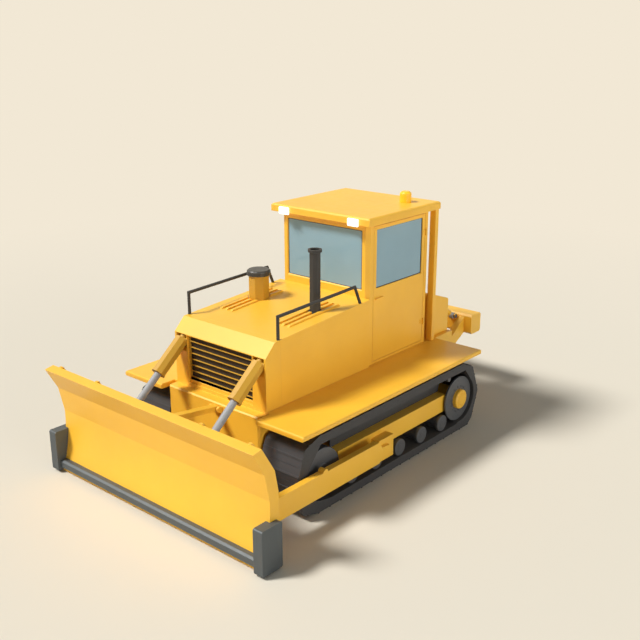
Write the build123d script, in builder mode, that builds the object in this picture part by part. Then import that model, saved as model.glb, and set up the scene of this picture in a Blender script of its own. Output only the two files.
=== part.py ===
"""Crawler dozer: hull, cab, tracks, blade with lift cylinders and brace, and rear ripper.

Frame: +X is the machine's left, -Y is forward (blade end), +Z is up, Z = 0 is the ground.
All lengths are in millimetres and all angles in degrees.
"""
from build123d import *
from math import acos, atan2, cos, degrees, hypot, radians, sin
import os

os.makedirs("parts", exist_ok=True)

# ---------------------------------------------------------------- clearances
SEAT = 0.3          # running and seating gap between separate pieces
GAP = 6             # clearance beside a piece that moves

# ---------------------------------------------------------------- hull
HULL_HALF = 766     # half width of the main frame
HULL_FRONT = -1943
HULL_REAR = 2000
DECK = 1121         # height that hood, cab, tank and posts stand on
SHELF_DROP = 20     # the hull's front shelf lies this much lower
HULL_BOTTOM = 430
BELLY_RISE = 190    # how far the belly slopes up at both ends
HULL_BEVEL = 20
TONGUE_HALF = 100   # rear drawbar
TONGUE_LONG = 190
TONGUE_THICK = 70
TONGUE_BORE = 25

# ---------------------------------------------------------------- nose and hood
HOOD_HALF = 762
HOOD_WALL = 14
NOSE_FRONT = -1807
NOSE_LONG = 247     # from the nose's face back to the hood's front edge
NOSE_SHOULDER = 1761    # height where the nose starts to slope back
NOSE_SLOPE_LONG = 156
NOSE_CREST = 1919
HOOD_REAR = 70
HOOD_REAR_HIGH = 2020
GRILLE_HALF = 547
GRILLE_LOW = 1148
GRILLE_HIGH = 1750
GRILLE_DEPTH = 30   # how deep the bars lie behind the nose's face
BAR_COUNT = 7
BAR_THICK = 7
BAR_DEEP = 24
BAR_END = 16        # side strips that carry the bars
RADIATOR_THICK = 90
ENGINE_HALF = 330
ENGINE_HIGH = 600
LOUVRE_X = (384, 474, 564)
LOUVRE_FRONT = -1240
LOUVRE_REAR = -285
LOUVRE_HIGH = 22
LOUVRE_WIDE = 38
STACK_X = 477
STACK_Y = -643
STACK_R = 70
STACK_TOP = 2755
RIM_R = 90
RIM_HIGH = 34
CLEANER_X = -460
CLEANER_Y = -650
CLEANER_R = 138
CLEANER_TOP = 2280
CAP_R = 152
CAP_HIGH = 72
RAIL_X = 740        # handrails along the hood's edges
RAIL_R = 19
RAIL_FRONT = -1577
RAIL_TOP_FRONT = 2196
RAIL_KNEE = -207
RAIL_TOP_REAR = 2240
RAIL_FOOT = -60

# ---------------------------------------------------------------- cab
CAB_HALF = 725
CAB_REAR = 1351
CAB_WALL = 40
CAB_BEVEL = 45
SILL_BEVEL = 13     # around the windshield
CAB_TOP = 2960
WINDOW_LOW = 2121
WINDOW_HIGH = 2873
SCREEN_PILLAR = 108    # width of the front corner posts beside the glass
SCREEN_HALF = CAB_HALF - SCREEN_PILLAR
REAR_PILLAR = 185    # width of the rear corner posts beside the glass
REAR_SCREEN_HALF = CAB_HALF - REAR_PILLAR
SIDE_WINDOW_FRONT = 242
SIDE_WINDOW_REAR = 1230
DOOR_FRONT = 180    # door opening in the cab's side
DOOR_REAR = 1292
DOOR_SILL = 30
DOOR_HEADER = 35
HINGE_HEIGHTS = (1400, 2640)
HINGE_PIN = 8
HINGE_R = 14
HINGE_TALL = 60
HINGE_STAND = 17    # hinge axis outside the cab's face
HANDLE_HIGH = 1980
GLASS_THICK = 8
FLOOR_THICK = 20
ROOF_HALF = 816
ROOF_FRONT = -34
ROOF_REAR = 1506
ROOF_THICK = 102
ROOF_BEVEL = 20
POST_IN = 702
POST_OUT = 800
POST_FRONT = 1425
POST_REAR = 1495
LAMP_X = 571
LAMP_HALF = 78
LAMP_LOW = 2945
LAMP_HIGH = 3038
LAMP_OUT = 42
BEACON_X = 495
BEACON_Y = 1149
BEACON_R = 78
BEACON_HIGH = 145
TANK_HALF = 700
TANK_FRONT = 1520
TANK_REAR = 1980
TANK_TOP_FRONT = 1760
TANK_TOP_REAR = 1598
SEAT_Y = 860        # middle of the operator's cushion
SEAT_HALF = 250
SEAT_TOP = 1640
CUSHION_THICK = 130
BACK_HIGH = 620

# ---------------------------------------------------------------- fenders and tracks
FENDER_IN = 804
FENDER_OUT = 1510
FENDER_FRONT = -2026
FENDER_REAR = 1576
FENDER_THICK = 65
TRACK_IN = 800
TRACK_OUT = 1390
GROUSER_HIGH = 10
GROUSER_THICK = 22
SHOE_COUNT = 44
SHOE_JOINT = 6      # width and depth of the slot between two shoes
BELT_CORNER = 60
BELT_TOP = 958
SPROCKET_Y = 1305
SPROCKET_Z = 455
SPROCKET_R = 310
SPROCKET_THICK = 30
SPROCKET_ROOM = 12  # between the sprocket and the belt around it
HUB_R = 134
HUB_OUT = 1405
CASE_R = 250
IDLER_Y = -1530
IDLER_Z = 450
IDLER_R = 310
CHAIN_LOW = 115     # inner surface of the lower run
CHAIN_HIGH = 850    # inner surface of the upper run
ROLLER_R = 109.7
ROLLER_PITCH = 473.5
ROLLER_FIRST = -986
ROLLER_COUNT = 5
FLANGE_THICK = 45   # a roller's flange, outside its thinner barrel
FLANGE_HIGH = 26
CARRIER_R = 36
CARRIER_Y = 1045
DISC_OUT = 1363     # outer face of the rollers
WHEEL_OUT = 1348    # outer face of sprockets and idlers
FRAME_IN = 985      # track frame beam
FRAME_OUT = 1300
FRAME_LOW = 345
FRAME_HIGH = 580
FRAME_FRONT = -1190
FRAME_REAR = 1110
FRAME_BEVEL = 36
GUARD_OUT = 1170    # wall on the beam, behind the upper run
GUARD_THICK = 20
HANGER_THICK = 30
YOKE_THICK = 60
CROSS_Y = (-900, 700)
CROSS_LONG = 260

# ---------------------------------------------------------------- blade
BLADE_HALF = 1750
BLADE_LOW = 20
# the mouldboard's section as (y, z): flats from the lip down, a point on the curve, the toe, the back
BLADE_FACE = ((-3011, 1366), (-2856, 1088), (-2794, 775))
BLADE_CURVE = (-2818, 400)
BLADE_TOE = (-2921, BLADE_LOW)
BLADE_BACK = ((-2800, BLADE_LOW), (-2700, 260), (-2662, 534), (-2665, 848), (-2713, 1093), (-2890, 1390))
BLADE_ARM_IN = 1425
BLADE_ARM_THICK = 82
BLADE_ARM_OUT = BLADE_ARM_IN + BLADE_ARM_THICK
ARM_LOW = 290
ARM_HIGH = 566
ARM_NECK = 245      # trunnion to where the arm has its full height
ARM_HEAD = 178      # trunnion to where the arm's tongue begins
ARM_HEAD_LOW = 335
ARM_HEAD_HIGH = 460
ARM_EYE = 50        # radius of the eye at the tongue's end
TONGUE_WIDE = 48
TRUNNION_Y = -420
TRUNNION_Z = 390
TRUNNION_R = 28
BLOCK_HALF = 145
BLOCK_LOW = 235
BLOCK_HIGH = 520
LUG_Y = -1650
LUG_R = 38
EDGE_HALF = BLADE_HALF - 54
EDGE_FRONT = BLADE_TOE[0] - 35
EDGE_REAR = BLADE_BACK[0][0] + 10
EDGE_LIP = 28       # depth of the edge's bevelled top
EDGE_LOW = BLADE_LOW + 50
EDGE_NOSE = BLADE_LOW + 124
EDGE_HIGH = BLADE_LOW + 145
BIT_THICK = 126
BIT_FRONT = EDGE_FRONT - 37
BIT_REAR = BLADE_BACK[1][0] + 5
BIT_LOW = 22
BIT_HIGH = 546
BIT_ROUND = 26
RIB_X = (885, 1590)     # stiffening ribs on the blade's back
RIB_THICK = 40
RIB_DEEP = 45
RIB_PEAK = 12       # how far a rib's top stands over the blade's
CYL_X = 645
PIVOT_Y = -1796     # lift cylinder trunnion in the nose
PIVOT_Z = 1679
EYE_Y = -2590       # lift rod eye on the blade's back
EYE_Z = 1017
BARREL_HALF = 80    # half the distance across the barrel's flats
COLLAR_HALF = 85
COLLAR_LONG = 25
ROD_R = 43
EYE_R = 56
EYE_WIDE = 84
EYE_BORE = 26
EAR_THICK = 24
EAR_SIDE = 8        # gap between an ear and the eye beside it
GLAND_AT = 514      # trunnion to rod gland
TAIL_LONG = 190     # trunnion to the barrel's hidden rear end
TAIL_R = 46
ROD_INNER = 233     # trunnion to the rod's inner end at rest
POCKET_HALF = 88
PIN_R = 25
PIN_REACH = 93      # barrel's middle to the end of its trunnion pin
BRACE_X = 110
BRACE_Y = -1995
BRACE_Z = 1060
BRACE_EYE_Y = -2640
BRACE_EYE_Z = 1150
BRACE_EYE_R = 46
BRACE_BAR = 32
BRACE_PIN = 18

# ---------------------------------------------------------------- ripper
RIP_Y = 2130        # hinge of the ripper frame
RIP_Z = 560
RIP_PIN = 38
RIP_EYE_R = 60
RIP_HALF = 630
BEAM_FRONT = 2750
BEAM_REAR = 3011
BEAM_LOW = 830
BEAM_HIGH = 1130
RIP_ARM_X = 450
RIP_ARM_THICK = 100
RIP_MOUNT_HALF = 560
RIP_PLATE = 60      # mounting frame behind hull and tank
RIP_MOUNT_LOW = 470
RIP_MOUNT_HIGH = 1500
RIP_EAR = 36
RIP_CYL_X = 330
RIP_TOP_Y = 2130    # trunnions of the ripper cylinders
RIP_TOP_Z = 1430
RIP_ROD_EYE_Y = 2686
RIP_ROD_EYE_Z = 1090
RIP_ROD_EYE_R = 44
RIP_ROD_EYE_WIDE = 60
RIP_BARREL_R = 48
RIP_ROD_R = 27
RIP_GLAND_AT = 520
RIP_TAIL = 35
RIP_ROD_INNER = 50
SHANK_THICK = 70
SHANK_FRONT = 2785
SHANK_DEEP = 190
SHANK_TOP = 1235
SHANK_LOW = 130

SIDES = (("left", 1), ("right", -1))

NOSE_REAR = NOSE_FRONT + NOSE_LONG
NOSE_CREST_Y = NOSE_FRONT + NOSE_SLOPE_LONG
HOOD_SLOPE = (HOOD_REAR_HIGH - NOSE_CREST) / (HOOD_REAR - NOSE_CREST_Y)
HOOD_PLANE = Plane(origin=(0, NOSE_CREST_Y, NOSE_CREST), x_dir=(1, 0, 0), z_dir=(0, -HOOD_SLOPE, 1))


# ---------------------------------------------------------------- helpers
def label(part, name):
    """Name a finished piece and write it."""
    part.label = name
    export_step(part, f"parts/{name}.step")


def span(side, inner, outer):
    """The low and high x of a stretch measured outwards on one side."""
    return tuple(sorted((side * inner, side * outer)))


def slab(rows, x, mode=Mode.ADD):
    """Extrude a closed side-view outline of (y, z) rows across an x span."""
    with BuildSketch(Plane.YZ.offset(x[0])) as outline:
        with BuildLine():
            Polyline(*rows, close=True)
        make_face()
    extrude(outline.sketch, amount=x[1] - x[0], mode=mode)


def block(x, y, z, mode=Mode.ADD):
    """Box between three low and high pairs."""
    slab(((y[0], z[0]), (y[1], z[0]), (y[1], z[1]), (y[0], z[1])), x, mode)


def disc(centre, radius, x, mode=Mode.ADD):
    """Cylinder about the X direction; the centre is (y, z)."""
    with BuildSketch(Plane.YZ.offset(x[0])) as outline:
        with Locations(centre):
            Circle(radius)
    extrude(outline.sketch, amount=x[1] - x[0], mode=mode)


def stem(axis, low, high, radius, mode=Mode.ADD):
    """Cylinder along a plane's normal, between two distances from its origin."""
    with BuildSketch(axis.offset(low)) as outline:
        Circle(radius)
    extrude(outline.sketch, amount=high - low, mode=mode)


def octagon(axis, low, high, half):
    """Eight-sided prism along a plane's normal, with flats that face sideways."""
    with BuildSketch(axis.offset(low)) as outline:
        RegularPolygon(half, 8, major_radius=False, rotation=22.5)
    extrude(outline.sketch, amount=high - low)


def aim(x, start, end):
    """Plane at (x, start) whose normal points from start to end in the side view."""
    return Plane(
        origin=(x, start[0], start[1]), x_dir=(1, 0, 0),
        z_dir=(0, end[0] - start[0], end[1] - start[1]))


def hood_height(y):
    """Height of the hood's top surface."""
    return NOSE_CREST + HOOD_SLOPE * (y - NOSE_CREST_Y)


def polar(centre, radius, angle):
    """Point of a circle in the side view."""
    return (centre[0] + radius * cos(radians(angle)), centre[1] + radius * sin(radians(angle)))


def tangent_angle(centre, radius, point, turn):
    """Angle at which a line from a point touches a circle; turn picks the side."""
    run, rise = point[0] - centre[0], point[1] - centre[1]
    return degrees(atan2(rise, run) + turn * acos(radius / hypot(run, rise)))


# ================================================================ hull
with BuildPart() as main_frame:
    slab(
        (
            (HULL_FRONT, DECK - SHELF_DROP), (HULL_FRONT, HULL_BOTTOM + BELLY_RISE),
            (HULL_FRONT + 2 * BELLY_RISE, HULL_BOTTOM), (HULL_REAR - BELLY_RISE, HULL_BOTTOM),
            (HULL_REAR, HULL_BOTTOM + BELLY_RISE), (HULL_REAR, DECK), (NOSE_FRONT, DECK),
            (NOSE_FRONT, DECK - SHELF_DROP)
        ), (-HULL_HALF, HULL_HALF))
    chamfer(main_frame.edges().filter_by(Axis.Z).group_by(Axis.Y)[0], HULL_BEVEL)
    chamfer(main_frame.faces().sort_by(Axis.Y)[0].edges().sort_by(Axis.Z)[-1], HULL_BEVEL - 4)
    # ears and pin for the brace's rear end
    for turn in (-1, 1):
        near = BRACE_X + turn * (BRACE_EYE_R + GAP)
        slab(
            (
                (HULL_FRONT, BRACE_Z - 75), (BRACE_Y, BRACE_Z - 42), (BRACE_Y - 34, BRACE_Z - 20),
                (BRACE_Y - 34, BRACE_Z + 12), (BRACE_Y, BRACE_Z + 32), (HULL_FRONT, DECK - SHELF_DROP - 30)
            ), tuple(sorted((near, near + turn * EAR_THICK))))
    disc((BRACE_Y, BRACE_Z), BRACE_PIN, (BRACE_X - BRACE_EYE_R - GAP, BRACE_X + BRACE_EYE_R + GAP))
    # rear drawbar with its pin bore
    block(
        (-TONGUE_HALF, TONGUE_HALF), (HULL_REAR - BELLY_RISE, HULL_REAR + TONGUE_LONG),
        (HULL_BOTTOM + 40, HULL_BOTTOM + 40 + TONGUE_THICK))
    fillet(main_frame.edges().filter_by(Axis.Z).group_by(Axis.Y)[-1], TONGUE_HALF / 2)
    with Locations((0, HULL_REAR + TONGUE_LONG - TONGUE_HALF, HULL_BOTTOM + 40 + TONGUE_THICK)):
        Hole(TONGUE_BORE, depth=TONGUE_THICK)
label(main_frame.part, "main_frame")

# ================================================================ nose
POCKET = (
    (NOSE_FRONT - 13, PIVOT_Z - 153), (PIVOT_Y + 74, PIVOT_Z - 45), (PIVOT_Y + 206, PIVOT_Z + 9),
    (PIVOT_Y + 206, PIVOT_Z + 91), (PIVOT_Y + 156, PIVOT_Z + 171), (PIVOT_Y + 90, PIVOT_Z + 176),
    (NOSE_FRONT - 13, PIVOT_Z + 61))
with BuildPart() as radiator_guard:
    slab(
        (
            (NOSE_FRONT, DECK), (NOSE_FRONT, NOSE_SHOULDER), (NOSE_CREST_Y, NOSE_CREST),
            (NOSE_REAR, hood_height(NOSE_REAR)), (NOSE_REAR, DECK)
        ), (-HOOD_HALF, HOOD_HALF))
    block(
        (-GRILLE_HALF, GRILLE_HALF), (NOSE_FRONT - 10, NOSE_REAR + 10), (GRILLE_LOW, GRILLE_HIGH),
        Mode.SUBTRACT)
    for name, side in SIDES:
        slab(POCKET, span(side, CYL_X - POCKET_HALF, CYL_X + POCKET_HALF), Mode.SUBTRACT)
        disc(
            (PIVOT_Y, PIVOT_Z), PIN_R + SEAT, span(side, CYL_X - PIN_REACH - SEAT, CYL_X + PIN_REACH + SEAT),
            Mode.SUBTRACT)
label(radiator_guard.part, "radiator_guard")

with BuildPart() as grille:
    bar_front = NOSE_FRONT + GRILLE_DEPTH
    pitch = (GRILLE_HIGH - GRILLE_LOW) / (BAR_COUNT + 1)
    for index in range(BAR_COUNT):
        level = GRILLE_LOW + (index + 1) * pitch
        block(
            (-GRILLE_HALF + SEAT, GRILLE_HALF - SEAT), (bar_front, bar_front + BAR_DEEP),
            (level - BAR_THICK / 2, level + BAR_THICK / 2))
    for name, side in SIDES:
        block(
            span(side, GRILLE_HALF - BAR_END, GRILLE_HALF - SEAT), (bar_front, bar_front + BAR_DEEP),
            (GRILLE_LOW + SEAT, GRILLE_HIGH - SEAT))
label(grille.part, "grille")

# ================================================================ engine and hood
with BuildPart() as engine_and_radiator:
    core_front = bar_front + BAR_DEEP + 2 * GAP
    block(
        (-GRILLE_HALF + SEAT, GRILLE_HALF - SEAT), (core_front, core_front + RADIATOR_THICK),
        (GRILLE_LOW + SEAT, GRILLE_HIGH - SEAT))
    block((-ENGINE_HALF, ENGINE_HALF), (NOSE_REAR + 180, HOOD_REAR - 190), (DECK, DECK + ENGINE_HIGH))
label(engine_and_radiator.part, "engine_and_radiator")

with BuildPart() as engine_hood:
    front_high, rear_high = hood_height(NOSE_REAR), hood_height(HOOD_REAR)
    slab(
        ((NOSE_REAR, DECK), (NOSE_REAR, front_high), (HOOD_REAR, rear_high), (HOOD_REAR, DECK)),
        (-HOOD_HALF, HOOD_HALF))
    slab(
        (
            (NOSE_REAR, DECK), (NOSE_REAR, front_high - HOOD_WALL),
            (HOOD_REAR, rear_high - HOOD_WALL), (HOOD_REAR, DECK)
        ), (-HOOD_HALF + HOOD_WALL, HOOD_HALF - HOOD_WALL), Mode.SUBTRACT)
    for name, side in SIDES:
        for x in LOUVRE_X:
            middle = side * x
            slab(
                (
                    (LOUVRE_FRONT, hood_height(LOUVRE_FRONT) - HOOD_WALL / 2),
                    (LOUVRE_FRONT + 2 * LOUVRE_HIGH, hood_height(LOUVRE_FRONT) + LOUVRE_HIGH),
                    (LOUVRE_REAR - 2 * LOUVRE_HIGH, hood_height(LOUVRE_REAR) + LOUVRE_HIGH),
                    (LOUVRE_REAR, hood_height(LOUVRE_REAR) - HOOD_WALL / 2)
                ), (middle - LOUVRE_WIDE / 2, middle + LOUVRE_WIDE / 2))
    # flat seats for the exhaust stack and the pre-cleaner
    for x, y, radius in ((STACK_X, STACK_Y, STACK_R), (CLEANER_X, CLEANER_Y, CLEANER_R)):
        with BuildSketch(HOOD_PLANE) as seat:
            with Locations((x, (y - NOSE_CREST_Y) * hypot(1, HOOD_SLOPE))):
                Circle(radius + GAP)
        extrude(seat.sketch, amount=2 * LOUVRE_HIGH, mode=Mode.SUBTRACT)
label(engine_hood.part, "engine_hood")

HOOD_SEAT = HOOD_PLANE.offset(SEAT)

with BuildPart() as exhaust_stack:
    with BuildSketch(Plane.XY.offset(NOSE_CREST)) as pipe:
        with Locations((STACK_X, STACK_Y)):
            RegularPolygon(STACK_R, 8, rotation=22.5)
    extrude(pipe.sketch, amount=STACK_TOP - NOSE_CREST)
    with BuildSketch(Plane.XY.offset(STACK_TOP - RIM_HIGH)) as rim:
        with Locations((STACK_X, STACK_Y)):
            RegularPolygon(RIM_R, 8, rotation=22.5)
    extrude(rim.sketch, amount=RIM_HIGH)
    with Locations((STACK_X, STACK_Y, STACK_TOP)):
        Hole(STACK_R - 12, depth=3 * RIM_HIGH)
    split(bisect_by=HOOD_SEAT, keep=Keep.TOP)
label(exhaust_stack.part, "exhaust_stack")

with BuildPart() as pre_cleaner:
    with BuildSketch(Plane.XY.offset(NOSE_CREST)) as bowl:
        with Locations((CLEANER_X, CLEANER_Y)):
            RegularPolygon(CLEANER_R, 8, rotation=22.5)
    extrude(bowl.sketch, amount=CLEANER_TOP - NOSE_CREST)
    with BuildSketch(Plane.XY.offset(CLEANER_TOP)) as cap:
        with Locations((CLEANER_X, CLEANER_Y)):
            RegularPolygon(CAP_R, 20)
    extrude(cap.sketch, amount=CAP_HIGH)
    chamfer(pre_cleaner.faces().sort_by(Axis.Z)[-1].edges(), CAP_HIGH / 4)
    split(bisect_by=HOOD_SEAT, keep=Keep.TOP)
label(pre_cleaner.part, "pre_cleaner")

with BuildPart() as handrails:
    for name, side in SIDES:
        with BuildLine(Plane.YZ.offset(side * RAIL_X)) as route:
            Polyline(
                (RAIL_FRONT, NOSE_CREST - RAIL_R), (RAIL_FRONT, RAIL_TOP_FRONT),
                (RAIL_KNEE, RAIL_TOP_REAR), (RAIL_FOOT, NOSE_CREST))
        with BuildSketch(Plane(origin=route.line @ 0, z_dir=route.line % 0)) as rod:
            RegularPolygon(RAIL_R, 8, major_radius=False, rotation=22.5)
        sweep(rod.sketch, path=route.line, transition=Transition.RIGHT)
    split(bisect_by=HOOD_SEAT, keep=Keep.TOP)
label(handrails.part, "handrails")

# ================================================================ fenders
with BuildPart() as fenders:
    for name, side in SIDES:
        with BuildSketch(Plane.XY.offset(DECK - FENDER_THICK)) as plate:
            with BuildLine():
                Polyline(
                    (side * HULL_HALF, NOSE_FRONT), (side * FENDER_IN, NOSE_FRONT),
                    (side * FENDER_IN, FENDER_FRONT), (side * FENDER_OUT, FENDER_FRONT),
                    (side * FENDER_OUT, FENDER_REAR), (side * HULL_HALF, FENDER_REAR), close=True)
            make_face()
        extrude(plate.sketch, amount=FENDER_THICK)
        outer = fenders.faces().filter_by(Axis.X).sort_by(Axis.X)[-1 if side > 0 else 0]
        chamfer(outer.edges().filter_by(Axis.Y), FENDER_THICK / 5)
        front = fenders.faces().filter_by(Axis.Y).group_by(Axis.Y)[0].sort_by(Axis.X)[-1 if side > 0 else 0]
        chamfer(front.edges().filter_by(Axis.X).sort_by(Axis.Z)[-1], FENDER_THICK / 5)
label(fenders.part, "fenders")

# ================================================================ cab
WALL_IN = CAB_HALF - CAB_WALL
with BuildPart() as cab_frame:
    block((-CAB_HALF, CAB_HALF), (HOOD_REAR, CAB_REAR), (DECK, CAB_TOP))
    chamfer(cab_frame.edges().filter_by(Axis.Z).group_by(Axis.Y)[0], CAB_BEVEL)
    block((-WALL_IN, WALL_IN), (HOOD_REAR + CAB_WALL, CAB_REAR - CAB_WALL), (DECK, CAB_TOP), Mode.SUBTRACT)
    block(
        (-SCREEN_HALF, SCREEN_HALF), (HOOD_REAR, HOOD_REAR + CAB_WALL), (WINDOW_LOW, WINDOW_HIGH),
        Mode.SUBTRACT)
    chamfer(cab_frame.faces().sort_by(Axis.Y)[0].inner_wires()[0].edges(), SILL_BEVEL)
    block(
        (-REAR_SCREEN_HALF, REAR_SCREEN_HALF), (CAB_REAR - CAB_WALL, CAB_REAR), (WINDOW_LOW, WINDOW_HIGH),
        Mode.SUBTRACT)
    for name, side in SIDES:
        block(
            span(side, WALL_IN, CAB_HALF), (DOOR_FRONT, DOOR_REAR),
            (DECK + DOOR_SILL, CAB_TOP - DOOR_HEADER), Mode.SUBTRACT)
        # hinge brackets with their pins
        for height in HINGE_HEIGHTS:
            with BuildSketch(Plane.XY.offset(height - HINGE_R)) as pin:
                with Locations((side * (CAB_HALF + HINGE_STAND), DOOR_REAR)):
                    Circle(HINGE_PIN)
            extrude(pin.sketch, amount=HINGE_TALL + 2 * HINGE_R)
            for low in (height - SEAT - HINGE_R, height + HINGE_TALL + SEAT):
                block(
                    span(side, CAB_HALF, CAB_HALF + HINGE_STAND + HINGE_PIN),
                    (DOOR_REAR - HINGE_PIN / 2, DOOR_REAR + HINGE_R), (low, low + HINGE_R))
label(cab_frame.part, "cab_frame")

with BuildPart() as cab_floor:
    block(
        (-WALL_IN + SEAT, WALL_IN - SEAT), (HOOD_REAR + CAB_WALL + SEAT, CAB_REAR - CAB_WALL - SEAT),
        (DECK, DECK + FLOOR_THICK))
label(cab_floor.part, "cab_floor")

with BuildPart() as cab_roof:
    block((-ROOF_HALF, ROOF_HALF), (ROOF_FRONT, ROOF_REAR), (CAB_TOP, CAB_TOP + ROOF_THICK))
    chamfer(cab_roof.edges().group_by(Axis.Z)[-1], ROOF_BEVEL)
label(cab_roof.part, "cab_roof")

PANES = (
    ("windshield", SCREEN_HALF, HOOD_REAR),
    ("rear_window", REAR_SCREEN_HALF, CAB_REAR - CAB_WALL),
)
for name, half, wall in PANES:
    with BuildPart() as pane:
        middle = wall + CAB_WALL / 2
        block(
            (-half + SEAT, half - SEAT), (middle - GLASS_THICK / 2, middle + GLASS_THICK / 2),
            (WINDOW_LOW + SEAT, WINDOW_HIGH - SEAT))
    label(pane.part, name)

for name, side in SIDES:
    with BuildPart() as door:
        block(
            span(side, WALL_IN, CAB_HALF), (DOOR_FRONT + GAP, DOOR_REAR - GAP),
            (DECK + DOOR_SILL + GAP, CAB_TOP - DOOR_HEADER - GAP))
        block(
            span(side, WALL_IN, CAB_HALF), (SIDE_WINDOW_FRONT, SIDE_WINDOW_REAR),
            (WINDOW_LOW, WINDOW_HIGH), Mode.SUBTRACT)
        # hinge straps that wrap the pins
        for height in HINGE_HEIGHTS:
            with BuildSketch(Plane.XY.offset(height)) as strap:
                with Locations((side * (CAB_HALF + HINGE_STAND), DOOR_REAR)):
                    Circle(HINGE_R)
                with Locations((side * (CAB_HALF + HINGE_R / 4), DOOR_REAR - 2 * HINGE_R)):
                    Rectangle(HINGE_R / 2, 3.5 * HINGE_R)
                with Locations((side * (CAB_HALF + HINGE_STAND), DOOR_REAR)):
                    Circle(HINGE_PIN + SEAT, mode=Mode.SUBTRACT)
            extrude(strap.sketch, amount=HINGE_TALL)
        # handle near the opening edge
        grip = span(side, CAB_HALF + HINGE_R, CAB_HALF + 2 * HINGE_R)
        block(grip, (DOOR_FRONT + 40, DOOR_FRONT + 190), (HANDLE_HIGH, HANDLE_HIGH + HINGE_R))
        for end in (DOOR_FRONT + 40, DOOR_FRONT + 190 - HINGE_R):
            block(
                span(side, CAB_HALF, CAB_HALF + 2 * HINGE_R), (end, end + HINGE_R),
                (HANDLE_HIGH, HANDLE_HIGH + HINGE_R))
    label(door.part, f"door_{name}")
    with BuildPart() as pane:
        middle = CAB_HALF - CAB_WALL / 2
        block(
            span(side, middle - GLASS_THICK / 2, middle + GLASS_THICK / 2),
            (SIDE_WINDOW_FRONT + SEAT, SIDE_WINDOW_REAR - SEAT), (WINDOW_LOW + SEAT, WINDOW_HIGH - SEAT))
    label(pane.part, f"door_glass_{name}")

with BuildPart() as roof_lamps:
    for name, side in SIDES:
        block(
            span(side, LAMP_X - LAMP_HALF, LAMP_X + LAMP_HALF), (ROOF_FRONT - LAMP_OUT, ROOF_FRONT),
            (LAMP_LOW, LAMP_HIGH))
    chamfer(roof_lamps.faces().group_by(Axis.Y)[0].edges(), LAMP_OUT / 3)
label(roof_lamps.part, "roof_lamps")

with BuildPart() as beacon:
    with BuildSketch(Plane.XY.offset(CAB_TOP + ROOF_THICK)) as dome:
        with Locations((BEACON_X, BEACON_Y)):
            RegularPolygon(BEACON_R, 16)
    extrude(dome.sketch, amount=BEACON_HIGH)
    chamfer(beacon.faces().sort_by(Axis.Z)[-1].edges(), BEACON_R / 3)
label(beacon.part, "beacon")

with BuildPart() as rops_posts:
    for name, side in SIDES:
        block(span(side, POST_IN, POST_OUT), (POST_FRONT, POST_REAR), (DECK, CAB_TOP))
label(rops_posts.part, "rops_posts")

with BuildPart() as fuel_tank:
    slab(
        (
            (TANK_FRONT, DECK), (TANK_REAR, DECK), (TANK_REAR, TANK_TOP_REAR),
            (TANK_FRONT, TANK_TOP_FRONT)
        ), (-TANK_HALF, TANK_HALF))
    fillet(fuel_tank.edges().filter_by(Axis.X).sort_by(Axis.Z)[-2:], CAB_BEVEL)
label(fuel_tank.part, "fuel_tank")

# ================================================================ operator's place
CUSHION_LOW = SEAT_TOP - CUSHION_THICK
with BuildPart() as seat_base:
    block(
        (-SEAT_HALF + 40, SEAT_HALF - 40), (SEAT_Y - SEAT_HALF + 50, SEAT_Y + SEAT_HALF - 50),
        (DECK + FLOOR_THICK, CUSHION_LOW - SEAT))
label(seat_base.part, "seat_base")

with BuildPart() as operator_seat:
    slab(
        (
            (SEAT_Y - SEAT_HALF, CUSHION_LOW), (SEAT_Y - SEAT_HALF, SEAT_TOP),
            (SEAT_Y + SEAT_HALF - CUSHION_THICK, SEAT_TOP),
            (SEAT_Y + SEAT_HALF - CUSHION_THICK / 2, SEAT_TOP + BACK_HIGH),
            (SEAT_Y + SEAT_HALF + CUSHION_THICK / 2, SEAT_TOP + BACK_HIGH),
            (SEAT_Y + SEAT_HALF, CUSHION_LOW)
        ), (-SEAT_HALF, SEAT_HALF))
    fillet(operator_seat.edges().filter_by(Axis.X), CUSHION_THICK / 4)
label(operator_seat.part, "operator_seat")

with BuildPart() as controls:
    low = DECK + FLOOR_THICK
    front = HOOD_REAR + CAB_WALL
    slab(
        (
            (front + SEAT, low), (front + 220, low), (front + 220, SEAT_TOP - 60),
            (front + 150, SEAT_TOP + 220), (front + SEAT, SEAT_TOP + 220)
        ), (-SEAT_HALF, SEAT_HALF))
    for name, side in SIDES:
        x = span(side, SEAT_HALF + 60, SEAT_HALF + 200)
        block(x, (SEAT_Y - SEAT_HALF, SEAT_Y + SEAT_HALF), (low, SEAT_TOP + 60))
        lever = Plane.XY.offset(SEAT_TOP + 60)
        with BuildSketch(lever) as stalk:
            with Locations(((x[0] + x[1]) / 2, SEAT_Y - SEAT_HALF + 90)):
                Circle(12)
        extrude(stalk.sketch, amount=150)
        with BuildSketch(lever.offset(150)) as knob:
            with Locations(((x[0] + x[1]) / 2, SEAT_Y - SEAT_HALF + 90)):
                Circle(26)
        extrude(knob.sketch, amount=60)
label(controls.part, "controls")

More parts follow.
